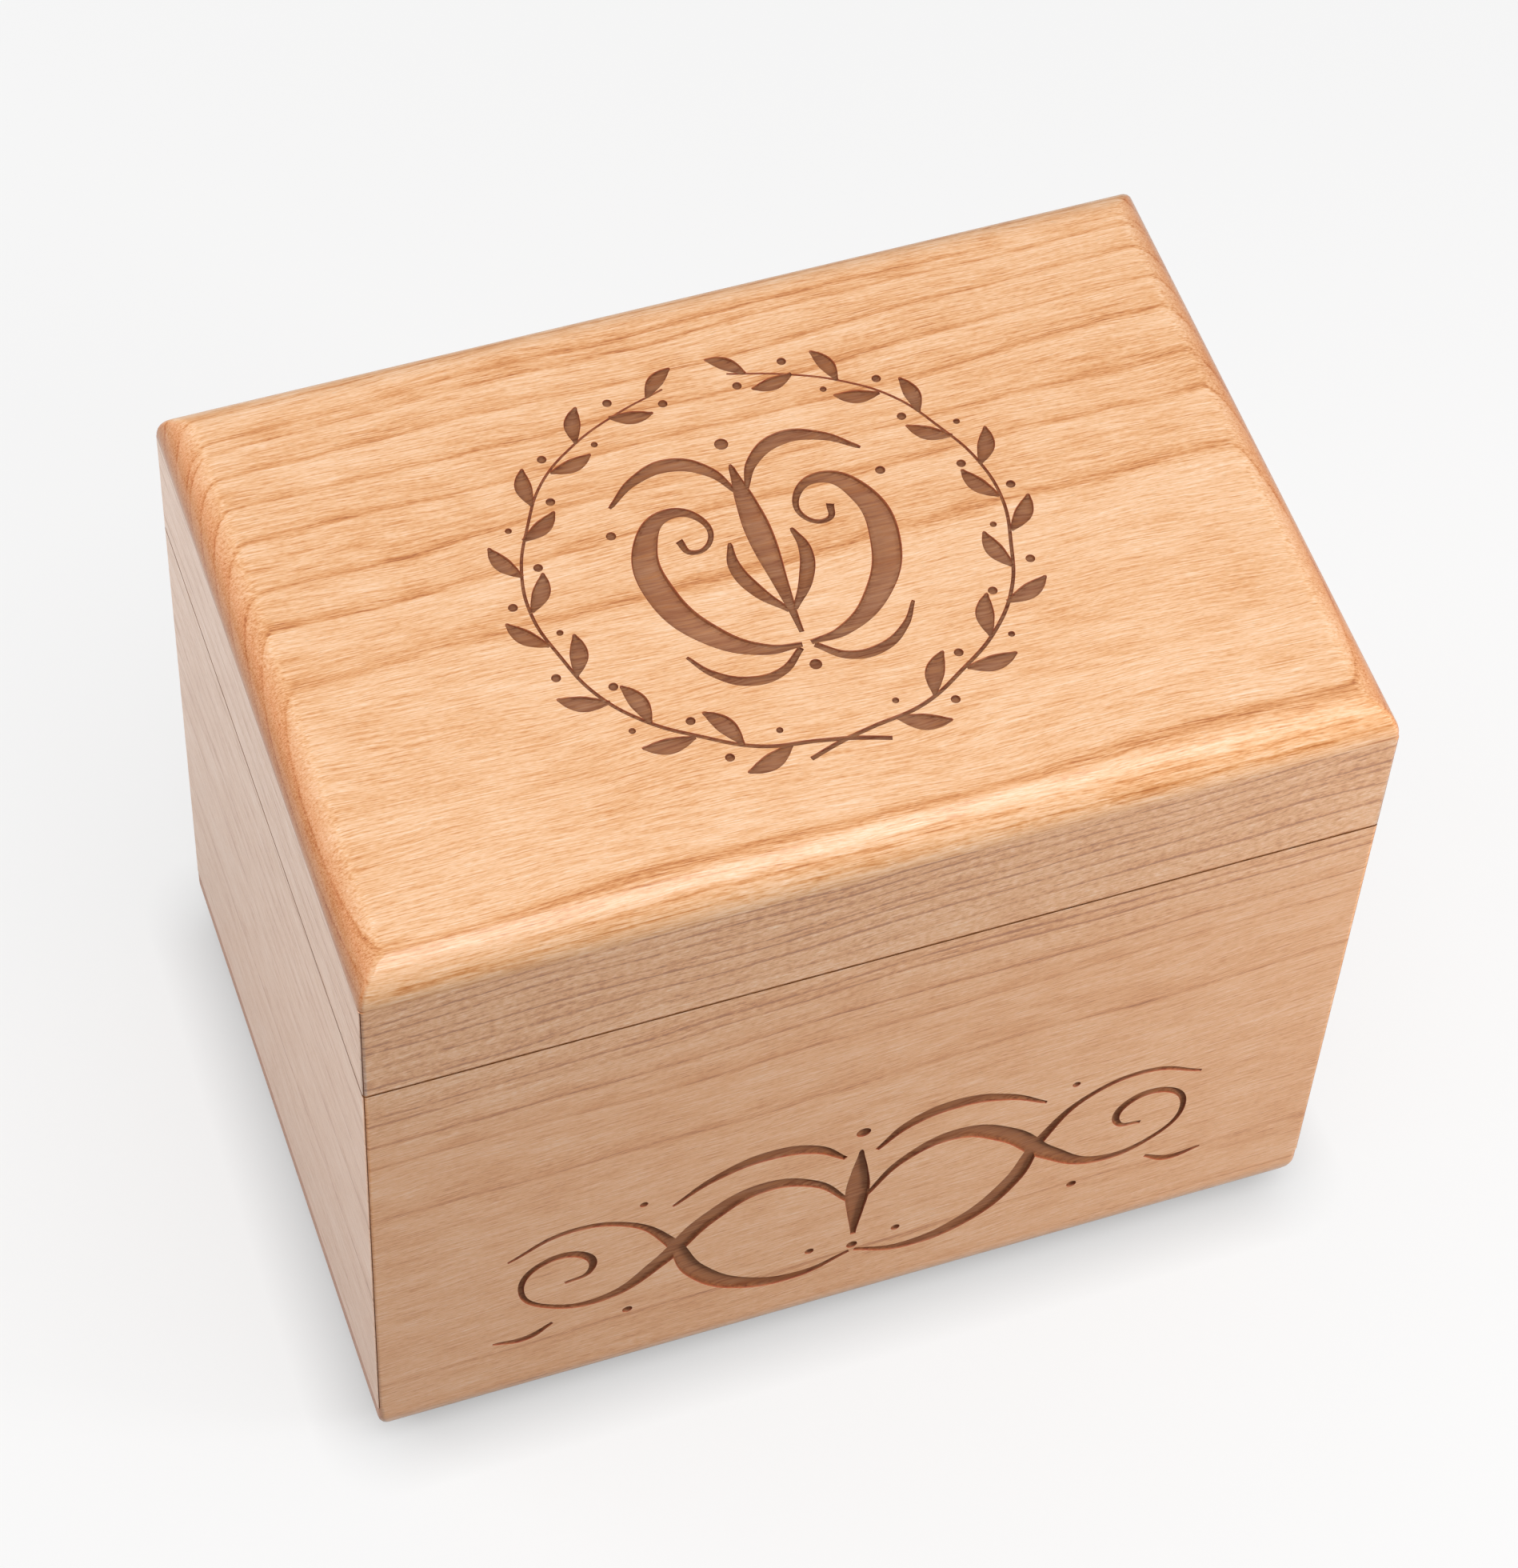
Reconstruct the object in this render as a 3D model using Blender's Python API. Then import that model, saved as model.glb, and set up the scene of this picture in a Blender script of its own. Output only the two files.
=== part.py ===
"""A hinged wooden card box: a mitred carcase closed by a top and a base board, with its lid
sawn off it, and two brass stop hinges let into the back rims.

Metres, +Z up. The origin is the middle of the underside. The front faces -Y, the hinges are at +Y,
and the lid is modelled closed. Its pivot empty lies on the hinge pins.
"""
import math

import bmesh
import bpy
from mathutils import Matrix, Vector

MM = 0.001

# The closed box, outside
WIDTH = 184.0 * MM
DEPTH = 126.5 * MM
HEIGHT = 157.0 * MM
LID_HEIGHT = 33.3 * MM           # top face down to the middle of the saw cut between box and lid
SEAM_GAP = 0.3 * MM              # what the closed lid leaves open at the cut

# Boards
WALL = 9.5 * MM
TOP_THICKNESS = 7.5 * MM
BASE_THICKNESS = 13.2 * MM
TOP_ROUND = 7.2 * MM             # radius routed round the upper edge of the top board
BASE_ROUND = 10.0 * MM           # radius routed round the lower edge of the base board
CORNER_EASE = 0.8 * MM           # sanded radius of the upright corners
RIM_EASE = 0.3 * MM              # sanded chamfer along the outer edges of the saw cut
GLUE_GAP = 0.3 * MM

# Hinges
HINGE_LENGTH = 32.0 * MM
HINGE_INSET = 38.0 * MM          # end of the box to the middle of a hinge
LEAF_THICKNESS = 1.2 * MM
LEAF_LAND = 1.5 * MM             # wood left between a leaf and the inside of the box
BARREL_RADIUS = 2.4 * MM
MIDDLE_KNUCKLE = 10.4 * MM       # length of the lid leaf's knuckle
PIN_RADIUS = 1.0 * MM
PIN_PROUD = 0.4 * MM             # how far each end of the pin stands out of the barrel
PIN_CHAMFER = 0.3 * MM
HEEL_THICKNESS = 1.2 * MM        # radial thickness of the stop heels behind the barrel
OPEN_ANGLE = math.radians(95.0)  # where the two heels stop the lid
STOP_GAP = 0.3 * MM              # left between the heels at that angle
METAL_GAP = 0.3 * MM             # between metal pieces that turn on or sit in each other
SEAT_GAP = 0.3 * MM              # between a metal piece and the wood that it sits in

# Countersunk screws
SCREW_LENGTH = 9.5 * MM
SCREW_HEAD_RADIUS = 2.1 * MM
SCREW_SHANK_RADIUS = 1.1 * MM
SCREW_HEAD_EDGE = 0.15 * MM      # straight rim above the cone
SCREW_TIP = 2.4 * MM
SCREW_INSET = 6.5 * MM           # end of a leaf to the middle of its outer screw

OVERRUN = 2.0 * MM               # how far a cutter passes the face that it opens
MERGE = 0.001 * MM               # points closer than this are one

# Facets
ROUND_STEPS = 10
EASE_STEPS = 3
BARREL_SIDES = 24
HEEL_STEPS = 5
SCREW_SIDES = 20

# Places that follow from the sizes above
SEAM_HEIGHT = HEIGHT - LID_HEIGHT
BODY_RIM = SEAM_HEIGHT - SEAM_GAP / 2
LID_RIM = SEAM_HEIGHT + SEAM_GAP / 2
LEAF_REACH = WALL - LEAF_LAND
PIN_BACK = BARREL_RADIUS + SEAT_GAP                # back face to the pin's axis
PIN_AXIS = Vector((0, DEPTH / 2 + PIN_BACK, SEAM_HEIGHT))
HEEL_INNER = BARREL_RADIUS + METAL_GAP
HEEL_OUTER = HEEL_INNER + HEEL_THICKNESS
SCREW_BACK = LEAF_REACH / 2                        # back face to a screw's axis
CONE_GAP = METAL_GAP * math.sqrt(2)                # METAL_GAP across a 45 degree cone, along its radius
HINGES = {"left": -1, "right": 1}
SCREWS = {"outer": 1, "inner": -1}


def clear_scene():
    for obj in list(bpy.data.objects):
        bpy.data.objects.remove(obj, do_unlink=True)


def linear(hex_colour):
    """The linear value of an sRGB colour."""
    parts = [int(hex_colour[i:i + 2], 16) / 255 for i in (0, 2, 4)]
    return [c / 12.92 if c <= 0.04045 else ((c + 0.055) / 1.055) ** 2.4 for c in parts] + [1.0]


def make_material(name, hex_colour, roughness, metallic=0.0):
    material = bpy.data.materials.new(name)
    material.use_nodes = True
    shader = material.node_tree.nodes["Principled BSDF"]
    shader.inputs["Base Color"].default_value = linear(hex_colour)
    shader.inputs["Roughness"].default_value = roughness
    shader.inputs["Metallic"].default_value = metallic
    material.diffuse_color = linear(hex_colour)
    return material


def add_object(name, bm, material=None, place=Matrix.Identity(4)):
    """Turns a bmesh into an object, with its faces pointing out and its round faces smooth."""
    bmesh.ops.recalc_face_normals(bm, faces=bm.faces)
    mesh = bpy.data.meshes.new(name)
    bm.to_mesh(mesh)
    bm.free()
    obj = bpy.data.objects.new(name, mesh)
    bpy.context.collection.objects.link(obj)
    obj.matrix_world = place
    if material:
        mesh.materials.append(material)
        mesh.shade_smooth()
        mesh.set_sharp_from_angle(angle=math.radians(35))
    return obj


def combine(target, tool, operation):
    """Cuts or joins with another object, which is then only a guide."""
    tool.hide_render = True
    tool.display_type = "WIRE"
    change = target.modifiers.new(tool.name, "BOOLEAN")
    change.operation = operation
    change.solver = "EXACT"
    change.object = tool


def box(low, high):
    bm = bmesh.new()
    bmesh.ops.create_cube(bm, size=1)
    low, high = Vector(low), Vector(high)
    bmesh.ops.scale(bm, vec=high - low, verts=bm.verts)
    bmesh.ops.translate(bm, vec=(low + high) / 2, verts=bm.verts)
    return bm


def extruded(outline, vector):
    """A solid swept from a flat outline along a vector."""
    bm = bmesh.new()
    face = bm.faces.new([bm.verts.new(point) for point in outline])
    swept = bmesh.ops.extrude_face_region(bm, geom=[face], use_keep_orig=True)
    moved = [item for item in swept["geom"] if isinstance(item, bmesh.types.BMVert)]
    bmesh.ops.translate(bm, vec=vector, verts=moved)
    return bm


def turned(profile, sides):
    """A solid spun about Z from (radius, height) points that start and end on the axis."""
    bm = bmesh.new()
    points = [bm.verts.new((radius, 0, height)) for radius, height in profile]
    edges = [bm.edges.new(pair) for pair in zip(points, points[1:])]
    bmesh.ops.spin(bm, geom=points + edges, axis=(0, 0, 1), cent=(0, 0, 0), angle=math.tau,
                   steps=sides, use_merge=True)
    bmesh.ops.remove_doubles(bm, verts=bm.verts, dist=MERGE)
    return bm


def arc(radius, start, end, steps):
    """(y, z) points along an arc about the X axis."""
    turns = [start + (end - start) * step / steps for step in range(steps + 1)]
    return [(radius * math.cos(turn), radius * math.sin(turn)) for turn in turns]


def wall_board(name, material, length, offset, turn, low, high, rim):
    """A plank with its outer face at -Y, sawn at 45 degrees at both ends, then turned about Z."""
    inner = WALL - offset
    bm = box((-length / 2, -offset, low), (length / 2, inner, high))
    upright = [edge for edge in bm.edges
               if abs(edge.verts[0].co.z - edge.verts[1].co.z) > MERGE and edge.verts[0].co.y < inner - MERGE]
    bmesh.ops.bevel(bm, geom=upright, offset=CORNER_EASE, segments=EASE_STEPS, profile=0.5,
                    affect="EDGES", material=-1)
    sawn = [edge for edge in bm.edges
            if all(abs(vert.co.z - rim) < MERGE for vert in edge.verts)
            and any(vert.co.y < inner - MERGE for vert in edge.verts)]
    bmesh.ops.bevel(bm, geom=sawn, offset=RIM_EASE, segments=1, profile=0.5, affect="EDGES", material=-1)
    for side in (-1, 1):
        across = Vector((side, 1, 0)).normalized()
        corner = Vector((side * length / 2, -offset, 0)) - across * GLUE_GAP / 2
        geom = list(bm.verts) + list(bm.edges) + list(bm.faces)
        cut = bmesh.ops.bisect_plane(bm, geom=geom, plane_co=corner, plane_no=across, clear_outer=True)
        ends = [item for item in cut["geom_cut"] if isinstance(item, bmesh.types.BMEdge)]
        bmesh.ops.contextual_create(bm, geom=ends)
    return add_object(name, bm, material, Matrix.Rotation(turn, 4, "Z"))


def eased_loop(inset, height):
    """The plan outline of a top or base board, drawn in by inset, as a ring of points."""
    radius = max(CORNER_EASE - inset, 0)
    points = []
    for quarter, (side_x, side_y) in enumerate(((1, 1), (-1, 1), (-1, -1), (1, -1))):
        centre_x = side_x * (WIDTH / 2 - inset - radius)
        centre_y = side_y * (DEPTH / 2 - inset - radius)
        for step in range(EASE_STEPS + 1):
            turn = (quarter + step / EASE_STEPS) * math.pi / 2
            points.append((centre_x + radius * math.cos(turn), centre_y + radius * math.sin(turn), height))
    return points


def rounded_board(name, material, thickness, radius, place):
    """A board over the whole plan, flat below, with a routed quarter round along its upper edge."""
    levels = [(0, 0)]
    for step in range(ROUND_STEPS + 1):
        turn = math.pi / 2 * step / ROUND_STEPS
        levels.append((radius * (1 - math.cos(turn)), thickness - radius * (1 - math.sin(turn))))
    bm = bmesh.new()
    rings = []
    for inset, height in levels:
        ring = [bm.verts.new(point) for point in eased_loop(inset, height)]
        rings.append([bm.edges.new((a, b)) for a, b in zip(ring, ring[1:] + ring[:1])])
    for below, above in zip(rings, rings[1:]):
        bmesh.ops.bridge_loops(bm, edges=below + above)
    for ring in (rings[0], rings[-1]):
        bmesh.ops.contextual_create(bm, geom=ring)
    bmesh.ops.remove_doubles(bm, verts=bm.verts, dist=MERGE)
    return add_object(name, bm, material, place)


def leaf_plate(is_lid):
    """The flat of a leaf, comb-cut beside the barrel, from below the barrel to inside the rim."""
    half = HINGE_LENGTH / 2
    inner = -(PIN_BACK + LEAF_REACH)
    notch = -(BARREL_RADIUS + METAL_GAP)
    if is_lid:
        tab = MIDDLE_KNUCKLE / 2
        comb = [(half, notch), (tab, notch), (tab, 0), (-tab, 0), (-tab, notch), (-half, notch)]
    else:
        slot = MIDDLE_KNUCKLE / 2 + METAL_GAP
        comb = [(half, 0), (slot, 0), (slot, notch), (-slot, notch), (-slot, 0), (-half, 0)]
    outline = [(-half, inner), (half, inner)] + comb
    return extruded([(x, y, -SEAM_GAP / 2) for x, y in outline], Vector((0, 0, -LEAF_THICKNESS)))


def heel_angles():
    """From straight down to the face that meets the other heel."""
    middle = (HEEL_INNER + HEEL_OUTER) / 2
    stop = OPEN_ANGLE / 2 + math.asin(STOP_GAP / 2 / middle)
    return -math.pi / 2, -stop


def knuckle(start, end):
    """A barrel section with the root of the stop heel on it."""
    down, stop = heel_angles()
    outline = arc(HEEL_OUTER, down, stop, HEEL_STEPS)
    outline += arc(BARREL_RADIUS, stop, down + math.tau, BARREL_SIDES)
    return extruded([(start, y, z) for y, z in outline], Vector((end - start, 0, 0)))


def heel_bar():
    """The heel along the whole hinge, clear of the other leaf's knuckles."""
    down, stop = heel_angles()
    outline = arc(HEEL_OUTER, down, stop, HEEL_STEPS) + arc(HEEL_INNER, stop, down, HEEL_STEPS)
    start = -HINGE_LENGTH / 2
    return extruded([(start, y, z) for y, z in outline], Vector((HINGE_LENGTH, 0, 0)))


def rod(radius, length, sides):
    """A round bar along X."""
    bm = bmesh.new()
    bmesh.ops.create_cone(bm, cap_ends=True, segments=sides, radius1=radius, radius2=radius, depth=length)
    bmesh.ops.rotate(bm, matrix=Matrix.Rotation(math.pi / 2, 3, "Y"), verts=bm.verts)
    return bm


def screw_profile(gap, overrun):
    """(radius, height) of a countersunk screw, head up at height zero, grown by gap for its hole."""
    cone_top = -SCREW_HEAD_EDGE
    cone = SCREW_HEAD_RADIUS - SCREW_SHANK_RADIUS
    if not gap:
        return [(0, 0), (SCREW_HEAD_RADIUS, 0), (SCREW_HEAD_RADIUS, cone_top),
                (SCREW_SHANK_RADIUS, cone_top - cone), (SCREW_SHANK_RADIUS, SCREW_TIP - SCREW_LENGTH),
                (0, -SCREW_LENGTH)]
    mouth = SCREW_HEAD_RADIUS + CONE_GAP
    hole = SCREW_SHANK_RADIUS + gap
    return [(0, overrun), (mouth, overrun), (mouth, cone_top), (hole, cone_top - mouth + hole),
            (hole, -LEAF_THICKNESS - overrun), (0, -LEAF_THICKNESS - overrun)]


def screw_spots():
    """Where a leaf's screws stand, from the middle of the pin: name, x, y."""
    for name, side in SCREWS.items():
        yield name, side * (HINGE_LENGTH / 2 - SCREW_INSET), -(PIN_BACK + SCREW_BACK)


def hinge_place(side, is_lid):
    """The hinge's own frame. A lid leaf is the body leaf's frame turned over about the Y axis."""
    middle = Vector((side * (WIDTH / 2 - HINGE_INSET), 0, 0)) + PIN_AXIS
    flip = Matrix.Rotation(math.pi, 4, "Y") if is_lid else Matrix.Identity(4)
    return Matrix.Translation(middle) @ flip


def hinge_leaf(name, material, side, is_lid):
    place = hinge_place(side, is_lid)
    leaf = add_object(name, leaf_plate(is_lid), material, place)
    half = HINGE_LENGTH / 2
    slot = MIDDLE_KNUCKLE / 2 + METAL_GAP
    spans = [(-MIDDLE_KNUCKLE / 2, MIDDLE_KNUCKLE / 2)] if is_lid else [(-half, -slot), (slot, half)]
    for number, (start, end) in enumerate(spans):
        combine(leaf, add_object(f"{name}_knuckle_{number}", knuckle(start, end), None, place), "UNION")
    combine(leaf, add_object(f"{name}_heel", heel_bar(), None, place), "UNION")
    bore = rod(PIN_RADIUS + METAL_GAP, HINGE_LENGTH + 2 * OVERRUN, BARREL_SIDES)
    combine(leaf, add_object(f"{name}_bore", bore, None, place), "DIFFERENCE")
    face = Matrix.Translation((0, 0, -SEAM_GAP / 2))
    for spot, x, y in screw_spots():
        sink = turned(screw_profile(METAL_GAP, OVERRUN), SCREW_SIDES)
        cutter = add_object(f"{name}_sink_{spot}", sink, None, place @ face @ Matrix.Translation((x, y, 0)))
        combine(leaf, cutter, "DIFFERENCE")
    return leaf


def hinge_pin(name, material, side):
    length = HINGE_LENGTH + 2 * PIN_PROUD
    ends = [(PIN_RADIUS - PIN_CHAMFER, -length / 2), (PIN_RADIUS, PIN_CHAMFER - length / 2)]
    profile = [(0, -length / 2)] + ends + [(radius, -height) for radius, height in reversed(ends)]
    bm = turned(profile + [(0, length / 2)], BARREL_SIDES)
    bmesh.ops.rotate(bm, matrix=Matrix.Rotation(math.pi / 2, 3, "Y"), verts=bm.verts)
    return add_object(name, bm, material, hinge_place(side, False))


def screw_places(side, is_lid):
    """Each screw's name and its frame, with its head's face level with the leaf."""
    for spot, x, y in screw_spots():
        yield spot, hinge_place(side, is_lid) @ Matrix.Translation((x, y, -SEAM_GAP / 2))


def let_in(board, side, is_lid):
    """Cuts the pocket for a leaf into a back rim, and the pilot holes for its screws."""
    place = hinge_place(side, is_lid)
    half = HINGE_LENGTH / 2 + SEAT_GAP
    floor = -(SEAM_GAP / 2 + LEAF_THICKNESS + SEAT_GAP)
    pocket = box((-half, -(PIN_BACK + LEAF_REACH + SEAT_GAP), floor), (half, 0, OVERRUN))
    tag = f"{board.name}_{'left' if side < 0 else 'right'}"
    combine(board, add_object(f"{tag}_pocket", pocket, None, place), "DIFFERENCE")
    for spot, frame in screw_places(side, is_lid):
        radius = SCREW_SHANK_RADIUS + SEAT_GAP
        top = -LEAF_THICKNESS
        hole = turned([(0, top), (radius, top), (radius, SCREW_TIP - SCREW_LENGTH),
                       (0, -SCREW_LENGTH - SEAT_GAP)], SCREW_SIDES)
        combine(board, add_object(f"{tag}_pilot_{spot}", hole, None, frame), "DIFFERENCE")


def carcase(prefix, woods, low, high, rim):
    """The four mitred walls between two heights, by name, with their sawn edge at rim."""
    walls = {"front": (WIDTH, DEPTH / 2, 0), "right": (DEPTH, WIDTH / 2, math.pi / 2),
             "back": (WIDTH, DEPTH / 2, math.pi), "left": (DEPTH, WIDTH / 2, -math.pi / 2)}
    return {side: wall_board(f"{prefix}_{side}", woods[side], length, offset, turn, low, high, rim)
            for side, (length, offset, turn) in walls.items()}


def ride_on(pivot, objects):
    """Parents the pieces to the lid's pivot where they lie."""
    for obj in objects:
        obj.parent = pivot
        obj.matrix_parent_inverse = pivot.matrix_world.inverted()


def build():
    clear_scene()
    woods = {"front": make_material("front_wood", "CF9F78", 0.42),
             "back": make_material("back_wood", "CB9B74", 0.42),
             "left": make_material("left_wood", "DCC0AE", 0.42),
             "right": make_material("right_wood", "D9BBA6", 0.42)}
    top_wood = make_material("top_wood", "EFB27E", 0.36)
    base_wood = make_material("base_wood", "BE9670", 0.42)
    brass = make_material("hinge_brass", "C9A45A", 0.30, 1.0)
    screw_brass = make_material("screw_brass", "B8944E", 0.34, 1.0)

    rounded_board("base_board", base_wood, BASE_THICKNESS, BASE_ROUND,
                  Matrix.Translation((0, 0, BASE_THICKNESS)) @ Matrix.Rotation(math.pi, 4, "X"))
    body = carcase("box", woods, BASE_THICKNESS + GLUE_GAP, BODY_RIM, BODY_RIM)
    lid = carcase("lid", woods, LID_RIM, HEIGHT - TOP_THICKNESS - GLUE_GAP, LID_RIM)
    top = rounded_board("lid_top", top_wood, TOP_THICKNESS, TOP_ROUND,
                        Matrix.Translation((0, 0, HEIGHT - TOP_THICKNESS)))

    moving = list(lid.values()) + [top]
    for hand, side in HINGES.items():
        for is_lid, carrier, part in ((False, body["back"], "box"), (True, lid["back"], "lid")):
            leaf = hinge_leaf(f"{hand}_hinge_{part}_leaf", brass, side, is_lid)
            let_in(carrier, side, is_lid)
            screws = [add_object(f"{hand}_hinge_{part}_screw_{spot}",
                                 turned(screw_profile(0, 0), SCREW_SIDES), screw_brass, frame)
                      for spot, frame in screw_places(side, is_lid)]
            if is_lid:
                moving += [leaf] + screws
        hinge_pin(f"{hand}_hinge_pin", brass, side)

    pivot = bpy.data.objects.new("lid_pivot", None)
    bpy.context.collection.objects.link(pivot)
    pivot.location = PIN_AXIS
    bpy.context.view_layer.update()
    ride_on(pivot, moving)


build()
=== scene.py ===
# %% [markdown]
# A small solid cherry box for recipe cards. Its maker glued up a closed box from a top, a base and four
# mitred walls, sawed the lid off it, and hung the lid on two brass hinges. A laser then engraved an
# ornament on the lid and another on the front. The imported model already holds every piece at its real
# place, so the first step is to load it and to move each piece's place into its mesh.

# %% The frame
import math
import bmesh
import bpy
from mathutils import Matrix, Vector


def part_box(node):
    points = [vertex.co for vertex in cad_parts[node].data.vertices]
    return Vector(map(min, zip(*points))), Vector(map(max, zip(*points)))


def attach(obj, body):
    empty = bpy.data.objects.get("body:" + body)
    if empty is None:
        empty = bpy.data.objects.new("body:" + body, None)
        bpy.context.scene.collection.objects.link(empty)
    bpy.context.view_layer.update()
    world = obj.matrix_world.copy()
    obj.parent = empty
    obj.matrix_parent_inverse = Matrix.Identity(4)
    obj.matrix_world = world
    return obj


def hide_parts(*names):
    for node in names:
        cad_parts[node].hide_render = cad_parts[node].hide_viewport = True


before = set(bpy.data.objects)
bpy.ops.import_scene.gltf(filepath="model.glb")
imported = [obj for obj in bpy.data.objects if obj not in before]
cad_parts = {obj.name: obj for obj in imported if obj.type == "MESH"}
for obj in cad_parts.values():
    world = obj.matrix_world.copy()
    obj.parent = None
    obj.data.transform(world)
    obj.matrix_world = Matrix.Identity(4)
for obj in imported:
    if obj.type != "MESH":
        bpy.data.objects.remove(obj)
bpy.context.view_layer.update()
MM = 0.001

# %% [markdown]
# All other sizes are read from the frame. The base board covers the whole plan, a wall gives the
# thickness of the stock, and the gap between the rims is the saw cut.

# %% Sizes read from the frame
BASE_LOW, BASE_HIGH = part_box("base_board")
TOP_LOW, TOP_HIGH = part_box("lid_top")
WIDTH = BASE_HIGH.x - BASE_LOW.x
DEPTH = BASE_HIGH.y - BASE_LOW.y
HEIGHT = TOP_HIGH.z
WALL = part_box("box_front")[1].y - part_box("box_front")[0].y
BOX_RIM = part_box("box_front")[1].z
LID_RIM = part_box("lid_front")[0].z
print("box %.1f x %.1f x %.1f mm" % (WIDTH / MM, DEPTH / MM, HEIGHT / MM))

# %% [markdown]
# Colours are sRGB hex values, as a paint chart gives them, and one function turns them into the
# linear numbers that a shader works with. Another starts a material, and one more adds a node to it,
# sets it and links it, so that a material reads as a list of steps.

# %% Helpers for materials
MIX_FACTOR, MIX_A, MIX_B, MIX_COLOUR = 0, 6, 7, 2      # the sockets of a Mix node that mixes colours


def linear(hex_colour):
    """The linear RGBA value of an sRGB hex colour."""
    parts = [int(hex_colour[i:i + 2], 16) / 255 for i in (0, 2, 4)]
    return [c / 12.92 if c <= 0.04045 else ((c + 0.055) / 1.055) ** 2.4 for c in parts] + [1.0]


def new_material(name):
    """A material, its tree of nodes and its shader."""
    material = bpy.data.materials.new(name)
    material.use_nodes = True
    return material, material.node_tree, material.node_tree.nodes["Principled BSDF"]


def node(tree, kind, inputs, **settings):
    """Adds a shader node. An input is a value, or a socket to link."""
    made = tree.nodes.new("ShaderNode" + kind)
    for key, value in settings.items():
        setattr(made, key, value)
    for key, value in inputs.items():
        if isinstance(value, bpy.types.NodeSocket):
            tree.links.new(value, made.inputs[key])
        else:
            made.inputs[key].default_value = value
    return made


def ramp(tree, value, stops):
    """A colour ramp through (position, colour or grey) stops."""
    made = node(tree, "ValToRGB", {"Fac": value})
    points = made.color_ramp.elements
    while len(points) < len(stops):
        points.new(0.5)
    for point, (position, colour) in zip(points, sorted(stops)):
        point.position = position
        point.color = linear(colour) if isinstance(colour, str) else (colour, colour, colour, 1)
    return made


# %% [markdown]
# Cherry is a fine, even wood. What the eye reads is its growth rings: each year ends in a thin brown
# line, with a soft shade behind it. The rings are cylinders round the heart of the tree, so on a flat
# board they show as long lines, and on a rounded edge they bend. They could be painted on each face,
# but then they would break at every edge. Here each board gets the cylinders themselves: its heart's
# place, and the distances at which the lines cross its face. A wall and its part of the lid were one
# board, so they share one pattern and the lines run on across the saw cut.

# %% How each board was sawn
TOP_FACE = Vector((0, 0, HEIGHT))
X, Y, Z = Vector((1, 0, 0)), Vector((0, 1, 0)), Vector((0, 0, 1))

# face: a point on the outer face, in metres. grain, across, inward: the board's own directions. heart:
# where the heart lies, across and inward from there, in millimetres. rise: how far the lines climb
# along the grain, per length. lines: where the rings cross the face, in millimetres, and more: the
# steps to the rings outside those.
SAWN = {
    "top": dict(face=TOP_FACE, grain=X, across=Y, inward=-Z, heart=(-28.7, -163), rise=-0.018,
                lines=(53.8, 51.4, 44.6, 37.2, 29.9, 20.4, 11.9, -2.0), more=(3.2, 3.6, 3.4)),
    "front": dict(face=TOP_FACE - Y * DEPTH / 2, grain=X, across=-Z, inward=Y, heart=(103, 100), rise=0.03,
                  lines=(3.6, 7.5, 10, 12.8, 16.6, 18.8, 23.1, 28.4, 37.5, 40.2, 48.4, 55.8, 74.0), more=()),
    "left": dict(face=TOP_FACE - X * WIDTH / 2, grain=Y, across=-Z, inward=X, heart=(175, 120), rise=-0.05,
                 lines=(6, 13, 20, 26, 36.5, 47, 52.5, 58, 65, 70, 81, 107, 116), more=()),
    "right": dict(face=TOP_FACE + X * WIDTH / 2, grain=-Y, across=-Z, inward=-X, heart=(70, 150), rise=0.03,
                  lines=(4, 9, 16, 21, 29, 40, 47), more=(2.6, 3.4, 4.4)),
    "back": dict(face=TOP_FACE + Y * DEPTH / 2, grain=-X, across=-Z, inward=-Y, heart=(84, 90), rise=0.02,
                 lines=(3, 8, 13.5, 17, 24, 31, 36, 45, 57), more=()),
    "base": dict(face=Vector((0, 0, 0)), grain=X, across=Y, inward=Z, heart=(22, -140), rise=0.02,
                 lines=(-8, -19, -27, -34, -41, -48, -55, -61), more=(3.0, 3.4, 3.1)),
}


def ring_radii(sawn):
    """The rings' radii in millimetres, from the places where they cross the face."""
    across, inward = sawn["heart"]
    radii = sorted(math.hypot(line - across, inward) for line in sawn["lines"])
    for step in sawn["more"]:
        radii.append(radii[-1] + step)
    return radii


for board, sawn in SAWN.items():
    print(board, "rings at", [round(radius, 1) for radius in ring_radii(sawn)])


# %% [markdown]
# The fibres are finer than the rings. They are noise, drawn out along the grain: broad soft streaks,
# thin ones, and short dark pores. The same noise, very large, sways the rings as a trunk does. All of
# them use the board's own directions in millimetres, so their sizes can be compared with a ruler.

# %% The pattern of a board
def board_directions(tree, sawn):
    """Millimetres along the grain, across it, and in from the face."""
    place = node(tree, "TexCoord", {}).outputs["Object"]
    local = node(tree, "VectorMath", {0: place, 1: sawn["face"]}, operation="SUBTRACT").outputs[0]
    return [node(tree, "VectorMath", {0: local, 1: sawn[key] / MM}, operation="DOT_PRODUCT").outputs["Value"]
            for key in ("grain", "across", "inward")]


def streaks(tree, place, length, width, detail=2.0, roughness=0.5):
    """Noise from 0 to 1 whose spots are length by width millimetres, the long way along the grain."""
    scaled = node(tree, "VectorMath", {0: place, 1: (1 / length, 1 / width, 1 / width)}, operation="MULTIPLY")
    return node(tree, "TexNoise", {"Vector": scaled.outputs[0], "Scale": 1.0, "Detail": detail,
                                   "Roughness": roughness}).outputs["Fac"]


def add_up(tree, start, terms):
    """start plus each (value, factor) product."""
    total = start
    for value, factor in terms:
        total = node(tree, "Math", {0: value, 1: factor, 2: total}, operation="MULTIPLY_ADD").outputs[0]
    return total


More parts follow.
